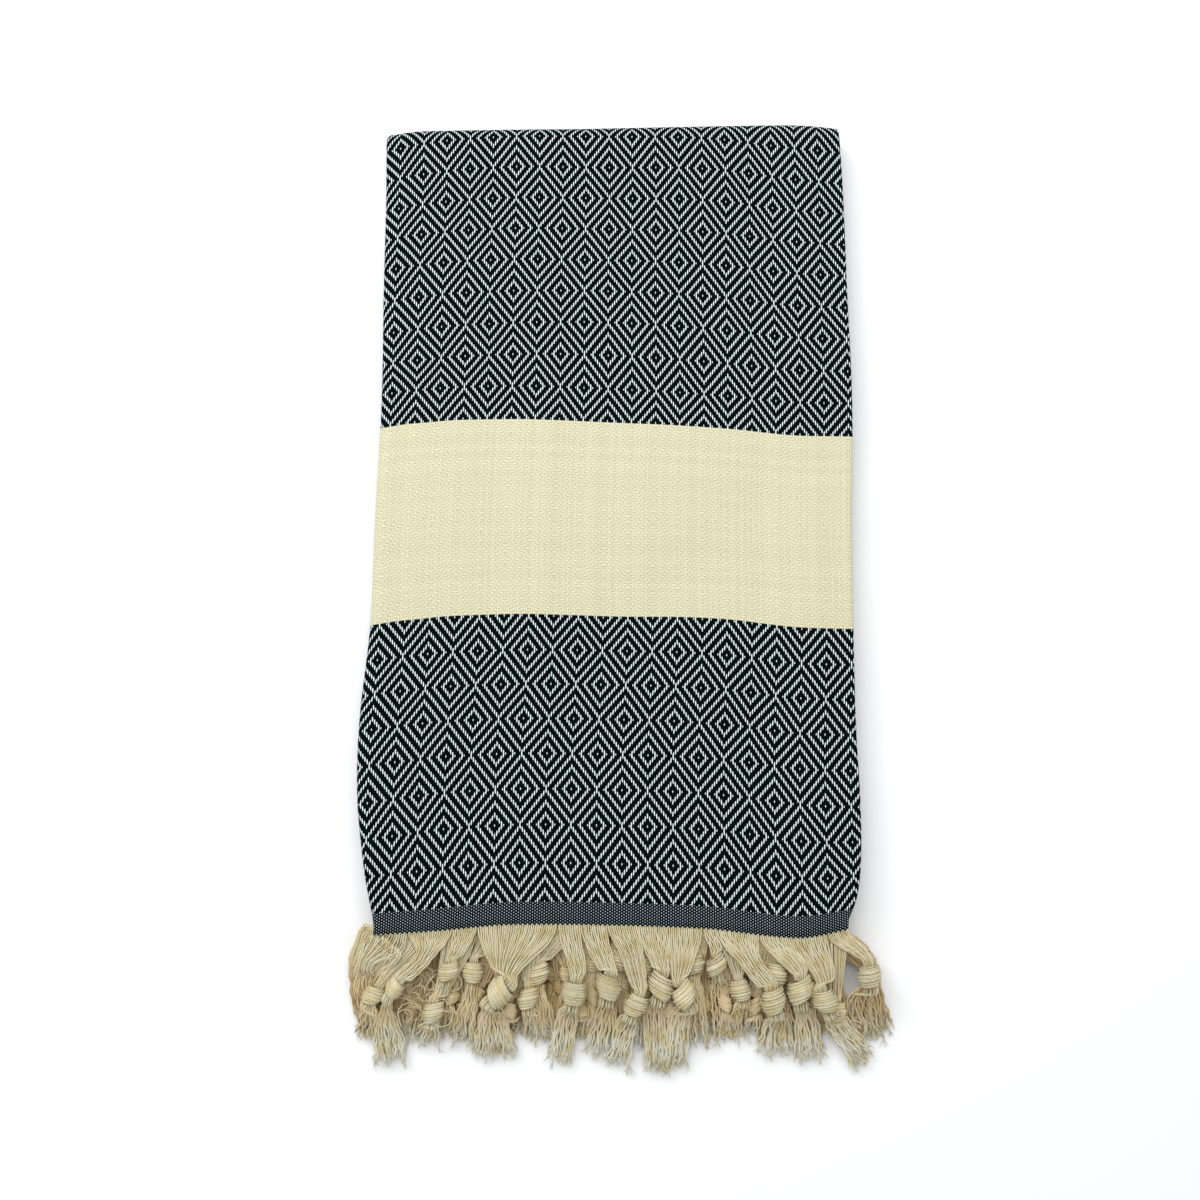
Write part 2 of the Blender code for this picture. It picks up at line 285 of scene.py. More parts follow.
# %% [markdown]
# Still cloth has soft hollows where it doesn't quite touch the layers below. Each is given as a
# line with a half width and a depth, and the further up a layer lies, the more it sinks. Real folds also
# wander a little.

# %% Settle the folded stack
HOLLOWS_FADE = 20 * MM  # the hollows fade out this close to the hem
SAG_FADES = 60 * MM  # the hem's sag is lost this far from it

# From (x, from_hem) to (x, from_hem), half width and depth, in mm. A ridge has a depth below 0.
SOFT_TROUGHS = (
    (10, 150, 100, 232, 26, 1.1), (60, 120, 126, 172, 24, -0.6), (-128, 130, -60, 168, 24, 0.7),
    (-95, 20, -40, 110, 30, 0.6), (-30, 60, 40, 18, 26, 0.5), (20, 300, 110, 262, 30, 0.5),
    (-120, 255, -70, 300, 26, 0.6), (-60, 330, -45, 420, 30, -0.4),
)


def hollow(x, y):
    """How far the top of the stack lies below its even height."""
    px, py = x / MM, (y - HEM_Y) / MM
    total = 0
    for x1, y1, x2, y2, reach, depth in SOFT_TROUGHS:
        run_x, run_y = x2 - x1, y2 - y1
        t = held(((px - x1) * run_x + (py - y1) * run_y) / (run_x**2 + run_y**2))
        away = ((px - x1 - t * run_x) ** 2 + (py - y1 - t * run_y) ** 2) / reach**2
        total += depth / (1 + away) ** 2
    return total * MM


def fold_wander(down):
    """A little sideways wander, which differs from layer to layer."""
    return (0.5 * sin(down / MM / 47 + 1.2) + 0.3 * sin(down / MM / 19)) * MM


def settle(x, y, z):
    """A point of the even stack, moved into its real outline."""
    side = x / (FACE_WIDTH / 2)
    share = z / STACK_HEIGHT
    slide = LEAN * (0.5 - share)
    raised = 1 + SPRING * (abs(side) ** 3 - 0.5)
    wide = half_width(y, side)
    edge = held((y - HEM_Y) / HOLLOWS_FADE)
    far = max(0, (y - HEM_Y) / FACE_LENGTH - 0.5) * 2
    reach = read_off(FOLD_REACH, (side * wide + slide) / MM) * MM * far**2
    return side * wide + slide, y + reach, z * raised - hollow(x, y) * share * edge


def sagged(across, down):
    """How far down a point lies once both hems have sagged."""
    pull = read_off(HEM_SAG, laid_up(across, 0, 0)[0] / MM) * MM
    near = max(0, 1 - down / SAG_FADES)
    far = max(0, 1 - (CLOTH_LENGTH - down) / SAG_FADES)
    return down - pull * near + pull * far


deepest = max(hollow(x * MM, HEM_Y + y * MM) for x in range(-120, 121, 10) for y in range(0, 420, 10))
print("deepest hollow in mm:", round(deepest / MM, 2))

# %% [markdown]
# The sheet is made flat first: a grid, finer where the face shows and round each fold than inside the stack,
# is drawn out by the thickness of the cloth into a closed slab. While it is flat, every point gets its place
# in threads as a UV map, so that the weave follows the cloth through all of its folds.

# %% Place the rows and columns of the flat sheet
END_PITCH = 25.5 / 22 * MM  # from one warp end to the next
PICK_PITCH = 35.5 / 24 * MM  # from one weft pick to the next
STRIP_DEPTH = 10.5 * MM  # the plain strip at the hem
FACE_MIDDLE = 377.8 * MM  # the middle of the face, counted across the flat cloth
FACE_END = 430 * MM  # how far down the flat cloth the face goes
HEM_BLEND = 45  # within so many mm of the hem, the picks follow its sag
SHOWN_ACROSS, SHOWN_DOWN, HIDDEN_STEP = 4.2 * MM, 4.6 * MM, 9 * MM  # sizes of the grid's cells
TURN_STEPS = (7, 8, 9, 14)  # steps round each of the four folds


def even_stops(start, end, step):
    """Places from start to end, no further apart than the step."""
    count = ceil((end - start) / step)
    return [start + (end - start) * k / count for k in range(count + 1)]


def turn_stops(line, reach, count):
    """Places round the half circle of a fold."""
    return [line + pi * reach * k / count for k in range(count + 1)]


def across_stops():
    """Places across the cloth, in two halves, one of which shows in the face."""
    covered = even_stops(SELVEDGE_INSET, LINE_2, HIDDEN_STEP) + turn_stops(LINE_2, REACH_2, TURN_STEPS[1])[1:]
    shown = even_stops(LINE_2 + pi * REACH_2, LINE_1, SHOWN_ACROSS)[1:]
    hidden = even_stops(LINE_2 + pi * REACH_2, LINE_1, HIDDEN_STEP)[1:]
    middle = turn_stops(LINE_1, REACH_1, TURN_STEPS[0])[1:]
    return covered + shown + middle + [CLOTH_WIDTH - stop for stop in reversed(covered + hidden[:-1])]


def down_stops():
    """Places down the cloth, from the hem that shows to the other."""
    shown = even_stops(0, HALF_LENGTH - LINE_4 - pi * REACH_4, SHOWN_DOWN)
    turn = [HALF_LENGTH - stop for stop in reversed(turn_stops(LINE_4, REACH_4, TURN_STEPS[3]))][1:]
    below = even_stops(HALF_LENGTH - LINE_4, LINE_3, HIDDEN_STEP)[1:]
    middle = turn_stops(LINE_3, REACH_3, TURN_STEPS[2])[1:]
    covered = even_stops(0, HALF_LENGTH - LINE_4 - pi * REACH_4, HIDDEN_STEP) + turn + below[:-1]
    return shown + turn + below + middle + [CLOTH_LENGTH - stop for stop in reversed(covered)]


print(len(across_stops()), "columns and", len(down_stops()), "rows")

# %% Make the flat slab
def flat_slab(stops_across, stops_down):
    """A closed slab on these rows and columns, its outer face at height 0."""
    slab = bmesh.new()
    columns, rows = len(stops_across), len(stops_down)
    bmesh.ops.create_grid(slab, x_segments=columns - 1, y_segments=rows - 1, size=0.5)
    for vert in slab.verts:
        column = round((vert.co.x + 0.5) * (columns - 1))
        row = round((vert.co.y + 0.5) * (rows - 1))
        vert.co = (stops_across[column], stops_down[row], 0)
    raised = bmesh.ops.extrude_face_region(slab, geom=slab.faces[:], use_keep_orig=True)
    for vert in (g for g in raised["geom"] if isinstance(g, bmesh.types.BMVert)):
        vert.co.z = SHEET
    return slab


def thread_place(across, down):
    """The warp end and the weft pick at a point of the flat cloth."""
    down = sagged(across, down)
    x, y, z = laid_up(across, down, 0)
    face_x = held(across - FACE_MIDDLE, -FACE_WIDTH / 2, FACE_WIDTH / 2)
    side = face_x / (FACE_WIDTH / 2)
    from_hem = (y - HEM_Y) / MM
    stretch = side * half_width(y, side) - face_x
    end = (across - FACE_MIDDLE + stretch) - read_off(WARP_DRIFT, from_hem) * MM
    turned = held(1 - 2 * (down - FACE_END) / (CLOTH_LENGTH - 2 * FACE_END), -1)
    near = held(1 - from_hem / HEM_BLEND)
    bow = read_off(WEFT_BOW, x / MM) * (1 - near) + read_off(HEM_SAG, x / MM) * near
    pick = down + (bow + pick_drift(x / MM, from_hem)) * MM * turned - STRIP_DEPTH
    return end / END_PITCH, pick / PICK_PITCH


slab = flat_slab(across_stops(), down_stops())
threads = slab.loops.layers.uv.new("threads")
known = {}
for face in slab.faces:
    for loop in face.loops:
        key = (loop.vert.co.x, loop.vert.co.y)
        if key not in known:
            known[key] = thread_place(*key)
        loop[threads].uv = known[key]
print("flat slab:", len(slab.faces), "faces")

# %% [markdown]
# Both hems sag where the layers under them give way, so their first rows are pulled towards the fringe
# before they are folded.

# %% Fold and settle the sheet
def in_place(across, down, height):
    """Where a point of the flat cloth ends up in the stack."""
    down = sagged(across, down)
    x, y, z = laid_up(across, down, height)
    return Vector(settle(x + fold_wander(down), y, z))


for vert in slab.verts:
    vert.co = in_place(*vert.co)
bmesh.ops.recalc_face_normals(slab, faces=slab.faces[:])
cloth_mesh = bpy.data.meshes.new("folded_cloth")
slab.to_mesh(cloth_mesh)
slab.free()
cloth_mesh.shade_smooth()
folded_cloth = new_object("folded_cloth", cloth_mesh)
print("folded cloth:", 2 * len(cloth_mesh.polygons), "triangles")

# %% [markdown]
# The weave is a point twill on four shafts. Each warp end floats over two picks and then lies under two, and
# the draft runs forward and back, over eleven ends and twelve picks, which turns the diagonals into nested
# diamonds, 22 ends wide and 24 picks long. The nodes work out how far each point lies from the middle of its
# float, a small dome that leans towards its neighbours in the diagonal. That gives the colour, the dark gaps
# between threads (painted shade in the cream bands), the painted highlight on the black weft and the bump in
# one go.

# %% Helpers for chains of maths nodes
def feed(tree, socket, value):
    """Give a socket a number, a colour or another node's output."""
    if isinstance(value, (int, float, tuple)):
        socket.default_value = value
    else:
        tree.links.new(value, socket)


def maths(tree, operation, *values):
    """Add one maths node."""
    node = tree.nodes.new("ShaderNodeMath")
    node.operation = operation
    for socket, value in zip(node.inputs, values):
        feed(tree, socket, value)
    return node.outputs[0]


def plus(tree, first, second):
    return maths(tree, "ADD", first, second)


def minus(tree, first, second):
    return maths(tree, "SUBTRACT", first, second)


def times(tree, first, second):
    return maths(tree, "MULTIPLY", first, second)


def choose(tree, share, first, second):
    """One of two values, by a share that is 0 or 1."""
    return plus(tree, times(tree, first, minus(tree, 1, share)), times(tree, second, share))


def blend_colours(tree, share, first, second):
    """The first colour at a share of 0, the second at 1."""
    node = tree.nodes.new("ShaderNodeMix")
    node.data_type = "RGBA"
    for k, value in ((0, share), (6, first), (7, second)):
        feed(tree, node.inputs[k], value)
    return node.outputs[2]


def smooth_step(tree, value, low, high):
    """0 up to the low value, 1 from the high one and a smooth rise between."""
    node = tree.nodes.new("ShaderNodeMapRange")
    node.interpolation_type = "SMOOTHSTEP"
    node.inputs["From Min"].default_value = low
    node.inputs["From Max"].default_value = high
    tree.links.new(value, node.inputs["Value"])
    return node.outputs["Result"]


def dome(tree, along, aside, reach):
    """1 on a float's middle and 0 on its edge."""
    squares = [maths(tree, "POWER", maths(tree, "DIVIDE", maths(tree, "ABSOLUTE", away), half), 2)
               for away, half in zip((along, aside), reach)]
    return minus(tree, 1, plus(tree, *squares))


def uv_parts(tree, name):
    """The two numbers of a UV map."""
    place = tree.nodes.new("ShaderNodeUVMap")
    place.uv_map = name
    parts = tree.nodes.new("ShaderNodeSeparateXYZ")
    tree.links.new(place.outputs["UV"], parts.inputs["Vector"])
    return parts.outputs["X"], parts.outputs["Y"]


def finish_cotton(tree, shader, height, strength, raised, sheen):
    """A matt surface, with a height from 0 to 1 as its bump."""
    relief = tree.nodes.new("ShaderNodeBump")
    relief.inputs["Strength"].default_value = strength
    relief.inputs["Distance"].default_value = raised
    tree.links.new(height, relief.inputs["Height"])
    tree.links.new(relief.outputs["Normal"], shader.inputs["Normal"])
    shader.inputs["Roughness"].default_value = 0.85
    shader.inputs["Specular IOR Level"].default_value = sheen


# %% Work out the floats of the weave
STRIP_PICK = 0.67 * MM  # the strip's finer pick pitch
BODY_PICKS = round((CLOTH_LENGTH - 2 * STRIP_DEPTH) / PICK_PITCH / 2) * 2
DRAFT_ENDS, DRAFT_PICKS = 11, 12  # the draft turns back after so many ends and picks
LEANING = 0.13  # how far a float leans towards the next one in the diagonal

# Half the length and half the width of a float's dome, in threads
TWILL_WARP, TWILL_WEFT = (0.95, 0.285), (1.2, 0.55)
PLAIN_WARP, PLAIN_WEFT = (0.45, 0.25), (0.75, 0.5)
TOOTH = (1, 0.55)


def twill_floats(tree, end, pick):
    """The domes of the diamond twill's warp and weft floats."""
    near_end, near_pick = maths(tree, "ROUND", end), maths(tree, "ROUND", pick)
    warp_step, weft_step = [
        plus(tree, maths(tree, "PINGPONG", across, DRAFT_ENDS), maths(tree, "PINGPONG", down, DRAFT_PICKS))
        for across, down in ((near_end, pick), (end, near_pick))
    ]
    warp_along = maths(tree, "WRAP", minus(tree, warp_step, 3.5), 2, -2)
    weft_along = maths(tree, "WRAP", minus(tree, weft_step, 1.5), 2, -2)
    leaning = times(tree, maths(tree, "SIGN", maths(tree, "WRAP", near_end, DRAFT_ENDS, -DRAFT_ENDS)), LEANING)
    beside = plus(tree, minus(tree, end, near_end), times(tree, warp_along, leaning))
    weft = dome(tree, weft_along, minus(tree, pick, near_pick), TWILL_WEFT)
    return dome(tree, warp_along, beside, TWILL_WARP), weft


def plain_floats(tree, end, pick):
    """The domes of a plain weave, each thread over one and under one."""
    near_end, near_pick = maths(tree, "ROUND", end), maths(tree, "ROUND", pick)
    warp_along = maths(tree, "WRAP", plus(tree, near_end, pick), 1, -1)
    weft_along = maths(tree, "WRAP", plus(tree, plus(tree, end, near_pick), 1), 1, -1)
    weft = dome(tree, weft_along, minus(tree, pick, near_pick), PLAIN_WEFT)
    return dome(tree, warp_along, minus(tree, end, near_end), PLAIN_WARP), weft


print("picks between the two strips:", BODY_PICKS)

# %% [markdown]
# Undyed cotton yarn runs the whole length as the warp. The weft is black, and in the wide bands undyed too, so
# there the diamonds show by the play of light on the floats and by painted shade in the gaps between them,
# with a few flecks of seed husk. Yarn is spun unevenly, so each end and each pick is shaded by its number.
# Past the last pick the warp shows as a row of cream teeth, one for every second end.

# %% Colour the weave
WARP_WHITE = (0.78, 0.9, 0.91, 1)
STRIP_WHITE = (0.46, 0.54, 0.59, 1)
BLACK_WEFT = (0.0, 0.0008, 0.0008, 1)
# painted highlight: the black weft is a little lighter on the middle of each float and darkest at its edges
BLACK_PAINTED_HIGHLIGHT = (0.003, 0.005, 0.005, 1)
BAND_CREAM = (0.735, 0.705, 0.487, 1)
BAND_WARP = (0.715, 0.69, 0.49, 1)
# painted shade in the gaps between the cream band's threads
BAND_PAINTED_GAP_SHADE = (0.46, 0.40, 0.23, 1)
HUSK = (0.42, 0.30, 0.15, 1)
HUSK_CHANCE = 0.9985  # crossings with a higher chance number have a fleck
END_SHADES, PICK_SHADES = 0.07, 0.05  # how far the ends and the picks differ in shade
BAND_PICKS = (96.5, 167.5)  # the band lies between these picks, counted from the strip
TEETH = 0.4 * MM  # how far the teeth reach into the strip


def thread_shade(tree, number, spread):
    """A shade around 1 for each thread, by its number."""
    chance = tree.nodes.new("ShaderNodeTexWhiteNoise")
    chance.noise_dimensions = "1D"
    tree.links.new(number, chance.inputs["W"])
    return plus(tree, 1 - spread / 2, times(tree, chance.outputs["Value"], spread))


woven, tree, shader = new_material("woven_cotton")
end, down = uv_parts(tree, "threads")
half_body = BODY_PICKS / 2
pick = minus(tree, half_body, maths(tree, "ABSOLUTE", minus(tree, down, half_body)))
strip_pick = times(tree, pick, PICK_PITCH / STRIP_PICK)

in_strip = maths(tree, "LESS_THAN", pick, 0)
in_band = times(tree, maths(tree, "GREATER_THAN", pick, BAND_PICKS[0]),
                maths(tree, "LESS_THAN", pick, BAND_PICKS[1]))
twill_warp, twill_weft = twill_floats(tree, end, pick)
plain_warp, plain_weft = plain_floats(tree, end, strip_pick)

last_pick = maths(tree, "LESS_THAN", pick, (TEETH - STRIP_DEPTH) / PICK_PITCH)
from_odd_end = minus(tree, maths(tree, "WRAP", end, 2, 0), 1)
teeth = dome(tree, 0, from_odd_end, TOOTH)
warp_dome = choose(tree, last_pick, choose(tree, in_strip, twill_warp, plain_warp), teeth)
weft_dome = choose(tree, in_strip, twill_weft, plain_weft)
higher = maths(tree, "MAXIMUM", warp_dome, times(tree, weft_dome, 0.8))
thread_height = maths(tree, "MAXIMUM", higher, 0)
print("weave nodes:", len(tree.nodes))

# %% Finish the woven material
warp_shows = smooth_step(tree, warp_dome, -0.05, 0.3)
# the black weft, with a painted highlight on each float's middle
weft_colour = blend_colours(tree, smooth_step(tree, weft_dome, 0.0, 0.9), BLACK_WEFT, BLACK_PAINTED_HIGHLIGHT)
warp_colour = blend_colours(tree, in_strip, WARP_WHITE, STRIP_WHITE)
warp_colour = blend_colours(tree, last_pick, warp_colour, BAND_CREAM)
dark_weave = blend_colours(tree, warp_shows, weft_colour, warp_colour)
# the cream band, with painted shade where the weft floats fall away into the gaps between threads
band_weave = blend_colours(tree, smooth_step(tree, weft_dome, -0.1, 0.7), BAND_PAINTED_GAP_SHADE, BAND_CREAM)
band_weave = blend_colours(tree, smooth_step(tree, warp_dome, -2.6, 0.0), band_weave, BAND_WARP)

link = tree.links.new
end_number, pick_number = maths(tree, "ROUND", end), maths(tree, "ROUND", pick)
flecks = tree.nodes.new("ShaderNodeTexWhiteNoise")
flecks.noise_dimensions = "2D"
crossing = tree.nodes.new("ShaderNodeCombineXYZ")
link(end_number, crossing.inputs["X"])
link(pick_number, crossing.inputs["Y"])
link(crossing.outputs["Vector"], flecks.inputs["Vector"])
husk_here = times(tree, maths(tree, "GREATER_THAN", flecks.outputs["Value"], HUSK_CHANCE),
                  smooth_step(tree, thread_height, 0.5, 0.9))
band_weave = blend_colours(tree, husk_here, band_weave, HUSK)
colour = blend_colours(tree, in_band, dark_weave, band_weave)

shade = times(tree, thread_shade(tree, end_number, END_SHADES), thread_shade(tree, pick_number, PICK_SHADES))
shaded = tree.nodes.new("ShaderNodeVectorMath")
shaded.operation = "SCALE"
link(colour, shaded.inputs[0])
link(shade, shaded.inputs["Scale"])
link(shaded.outputs["Vector"], shader.inputs["Base Color"])
finish_cotton(tree, shader, thread_height, 0.6, 0.0003, 0.02)
cloth_mesh.materials.append(woven)
print("woven cotton:", len(tree.nodes), "nodes")

# %% [markdown]
# Past the last pick the warp ends run on as the fringe, gathered about fifteen at a time and knotted. Each
# is made as a curve with a fine bevel, the simplest way to make a yarn. Its root comes from the same fold
# rule as the cloth, so it leaves the hem where its warp end does, in all eight layers of the two hems.

# %% Find the root of every warp end
ENDS = round((CLOTH_WIDTH - 2 * SELVEDGE_INSET) / END_PITCH)
ROOT_INSIDE = 0.8 * MM  # a yarn starts this far inside the last pick


def end_root(number, far_hem):
    """Where a warp end leaves the hem, inside the cloth."""
    across = SELVEDGE_INSET + (number + 0.5) / ENDS * (CLOTH_WIDTH - 2 * SELVEDGE_INSET)
    down = CLOTH_LENGTH - ROOT_INSIDE if far_hem else ROOT_INSIDE
    return in_place(across, down, SHEET / 2)


hem_roots = {far: [end_root(k, far) for k in range(ENDS)] for far in (False, True)}
print(ENDS, "warp ends at each hem")

# %% [markdown]
# The uppermost tassels are placed one by one, left to right, with the width of hem that each gathers, as the
# photo shows them: one takes 39 mm of hem and another only 7 mm. The first has come undone, so it has no knot.
# The tassels below them are shared out evenly, and their knots are then pushed apart, like marbles in a tray.

# %% Table of the uppermost tassels
# The hem's share from x to x, the places before the knot as (x, distance from the straight hem, half width),
# the knot as (x, distance, size), and the places after it down to the tips. All in mm.
TOP_TASSELS = (
    (-130, -101.5, ((-112.5, 8.5, 10.5), (-121.5, 18, 5)), None,
     ((-123.5, 30, 6), (-120.5, 40, 7.5), (-115, 47, 7))),
    (-101.5, -80.1, ((-93.5, 16.5, 4.4), (-101.5, 25, 3.8)), (-108, 32, 5.4),
     ((-112.5, 43, 2.8), (-112, 57, 7.5), (-111, 66, 7))),
    (-80.1, -67.5, ((-77.5, 15, 3.6),), (-81.5, 24, 5.6), ((-86, 36, 6), (-88, 50, 9))),
    (-67.5, -28.4, ((-54, 24, 6.5),), (-56.5, 34, 7.4), ((-60, 45, 6), (-59, 62, 9.5))),
    (-28.4, -17, ((-18, 24, 4.2),), (-20, 34, 6.8), ((-23, 46, 5.2), (-27, 67, 7.5))),
    (-17, -4, ((-4, 22, 4.6),), (-3, 31, 7.2), ((-3.5, 43, 4.6), (-7, 63, 8))),
    (-4, 11, ((8, 14, 6), (12, 31, 3.8)), (10, 40, 6.4), ((6, 50, 5), (1.5, 67, 5.5))),
    (11, 25.5, ((22.5, 21, 4.4),), (22.5, 31, 7.2), ((20, 43, 5), (21, 70, 5.5))),
    (25.5, 43.4, ((32, 25, 4.4),), (34, 35, 7), ((32, 46, 5), (29.5, 68, 5))),
    (43.4, 50, ((50, 14, 3),), (50, 21, 5.6), ((52, 33, 5), (54, 55, 6))),
    (50, 71.2, ((67, 20, 5), (74, 29, 4.6)), (77.5, 38, 7.2), ((80, 48, 5.5), (80, 61, 9.5))),
    (71.2, 86.4, ((90, 23, 4.4),), (91, 33, 7.2), ((94, 44, 5), (97.5, 65, 7.5))),
    (86.4, 104, ((103, 28, 4.6),), (102.5, 38, 6.8), ((109, 48, 5), (122, 65, 5))),
    (104, 130, ((120.5, 15, 3.4),), (125, 26, 6.4), ((122, 37, 6), (123, 45, 9), (126, 51, 8))),
)
# Covered bundles that have come undone at the left end, as places to pass
UNDONE = (
    ((-122.5, 4, 3), (-127, 15, 3.6), (-127.5, 31, 4.5), (-125, 44, 5), (-119, 53, 5)),
    ((-119, 6, 4), (-123.5, 17, 4.5), (-123, 32, 6), (-120, 44, 6.5), (-114, 51, 6)),
)
# Knots of the layer below that show between them, x and distance
SECOND_KNOTS = (
    (-113.5, 32), (-86, 42), (-71, 37), (-64.5, 26), (-43, 34), (-35, 26), (-11, 30), (3, 26), (13, 24),
    (41, 26), (59.4, 30), (81.2, 27), (97, 25), (107, 44),
)


def beyond_hem(x, d, z):
    """A place across, out from the straight hem and up from the floor, in mm."""
    return Vector((x * MM, HEM_Y - d * MM, z * MM))


print(len(TOP_TASSELS), "tassels on top,", len(SECOND_KNOTS), "knots between them")

# %% Share out the ends
TO_A_LAYER = 14  # tassels in a covered layer


def group_covered(roots, layers):
    """The ends of some covered layers, each layer shared out evenly."""
    groups = []
    for layer in layers:
        first, last = round(layer * ENDS / 4), round((layer + 1) * ENDS / 4)
        cuts = [round(first + (last - first) * k / TO_A_LAYER) for k in range(TO_A_LAYER + 1)]
        groups += [sorted(roots[a:b], key=lambda r: r.x) for a, b in zip(cuts, cuts[1:])]
    return groups


def group_top(roots):
    """The uppermost layer's ends, shared out as in the table."""
    shown = sorted(roots[round(ENDS / 4):round(ENDS / 2)], key=lambda r: r.x)
    return [[r for r in shown if row[0] <= r.x / MM < row[1]] for row in TOP_TASSELS]


top_groups = group_top(hem_roots[False])
covered_groups = group_covered(hem_roots[False], (0, 2, 3)) + group_covered(hem_roots[True], (0, 1, 2, 3))
print("ends in the uppermost tassels:", [len(group) for group in top_groups])
print(len(covered_groups), "covered tassels")

# %% Place the knots of the uppermost tassels
chance = random.Random(7)
TOP_LEVEL = 7  # levels count up from the lowest of the eight layers
NECK_HEIGHT, KNOT_HEIGHT, FALL_HEIGHT, TIP_HEIGHT = 21.4, 19.0, 15, 4.5  # of uppermost tassels, in mm
UNDONE_FALLS = 19  # where the undone one starts to fall, in mm from the hem
tassels = []


def falling(places, start, height, low):
    """Places after a knot as (centre, half width), falling to the pile."""
    last = places[-1][1]
    return [(beyond_hem(x, d, low + (height - low) * (1 - (d - start) / (last - start)) ** 1.2), half * MM)
            for x, d, half in places]


for roots, (_, _, places_in, knot, places_out) in zip(top_groups, TOP_TASSELS):
    way_in = [(beyond_hem(x, d, NECK_HEIGHT if knot else 20.6 - 0.14 * d), half * MM)
              for x, d, half in places_in]
    way_out = falling(places_out, knot[1] if knot else UNDONE_FALLS, FALL_HEIGHT, TIP_HEIGHT)
    tassels.append({
        "roots": roots, "level": TOP_LEVEL, "fixed": True, "way_in": way_in, "way_out": way_out,
        "knot": beyond_hem(knot[0], knot[1], KNOT_HEIGHT) if knot else None,
        "size": knot[2] * MM if knot else 0,
    })
print("uppermost knots:", sum(tassel["knot"] is not None for tassel in tassels))

# %% Place the knots of the covered tassels
SPREAD = 1.03  # the fringe is so much wider than the hem
LOWEST_ROOTS, LAYER_RISE = 11.1, 1.3  # heights of the layers' roots, in mm
SECOND_LEVEL, SECOND_HEIGHT, SECOND_LARGER = 6, 13.5, 1.32  # the knots that show between the uppermost
undone, second = list(UNDONE), list(SECOND_KNOTS)
for roots in covered_groups:
    middle = sum(roots, Vector()) / len(roots)
    level = held(round((middle.z / MM - LOWEST_ROOTS) / LAYER_RISE), 0, SECOND_LEVEL)
    x, d = middle.x / MM * SPREAD + chance.uniform(-3, 3), chance.uniform(21, 40)
    size = chance.uniform(4.3, 4.9) * MM
    tassel = {"roots": roots, "level": level, "fixed": False, "size": size, "way_in": None}
    if x < -104 and level in (5, 6) and undone:
        # at the left end, where they have come undone
        path = undone.pop()
        tassel["way_in"] = [(beyond_hem(a, b, 11.5 + level - 0.16 * b), half * MM) for a, b, half in path[:2]]
        tassel["way_out"] = falling(path[2:], 20, 10, 2.5)
        tassel["knot"] = None
    elif level == SECOND_LEVEL and second:
        x, d = second.pop(min(range(len(second)), key=lambda k: abs(second[k][0] - x)))
        tassel["size"] *= SECOND_LARGER
    elif x > 106:
        # at the right end, to either side of the open place
        x, d = 126.5 if level % 2 else 103, 0.5 * d + 8
    if "knot" not in tassel:
        tassel["knot"] = beyond_hem(x, d, SECOND_HEIGHT if level == SECOND_LEVEL else 5 + 1.1 * level)
    tassels.append(tassel)

# The tray that the covered knots lie in, in metres, and how high a knot may lie in it
TRAY_X, TRAY_Y = (-0.124, 0.127), (HEM_Y - 0.044, HEM_Y - 0.019)
SECOND_TOP, COVERED_TOP = 0.0135, 0.0098

# Two open places: the floor shows through one at the right, and the other is a dark hollow
HOLES = [{"knot": beyond_hem(x, d, z), "size": size * MM, "fixed": True}
         for x, d, z, size in ((115, 25, 14, 5.5), (115, 27, 5, 6), (-97, 35, 14, 5.5), (-97, 35, 6, 4))]


def push_apart(marbles, rounds):
    """Push marbles that sit in each other apart, inside a low tray. The fixed ones stay."""
    for _ in range(rounds):
        for k, first in enumerate(marbles):
            for other in marbles[k + 1:]:
                gap = other["knot"] - first["knot"]
                lack = first["size"] + other["size"] - gap.length
                if lack > 0 and not (first["fixed"] and other["fixed"]):
                    push = gap.normalized() * lack * (1 if first["fixed"] or other["fixed"] else 0.5)
                    if not first["fixed"]:
                        first["knot"] -= push
                    if not other["fixed"]:
                        other["knot"] += push
        for marble in marbles:
            if not marble["fixed"]:
                knot, top = marble["knot"], SECOND_TOP if marble["level"] == SECOND_LEVEL else COVERED_TOP
                knot.x, knot.y = held(knot.x, *TRAY_X), held(knot.y, *TRAY_Y)
                knot.z = held(knot.z, marble["size"], top)


knotted = [tassel for tassel in tassels if tassel["knot"]]
push_apart(knotted + HOLES, 60)
overlap = max(a["size"] + b["size"] - (a["knot"] - b["knot"]).length
              for k, a in enumerate(knotted) for b in knotted[k + 1:])
print(len(knotted), "knots placed, the deepest overlap in mm:", round(overlap / MM, 2))

# %% [markdown]
# A tassel has three stretches. Above the knot its ends fan in from the hem to a neck. In the knot the bundle
# slips under the rim of a broad ridged band, which it makes itself by winding round twice. Below it the tail
# comes out fuller, spreads and falls to the pile beneath. Each yarn keeps its own place in the bundle.

# %% Work out each tassel's directions and sizes
YARN = 0.45 * MM  # half the thickness of a yarn
UP = Vector((0, 0, 1))
FROM_HEM = Vector((0, -1, 0))
TIPS_X = (-0.122, 0.134)  # no covered tassel's tip lies past these, in metres
TURNS = 2  # times that the band goes round a knot

def sideways(way):
    """The level direction across a bundle that runs this way."""
    return UP.cross(Vector((way.x, way.y, 0))).normalized()


def with_sides(start, places, end):
    """Add to each place of a bundle the direction across it."""
    line = [start] + [centre for centre, _ in places] + [end]
    return [(centre, half, sideways(after - before))
            for (centre, half), before, after in zip(places, line, line[2:])]


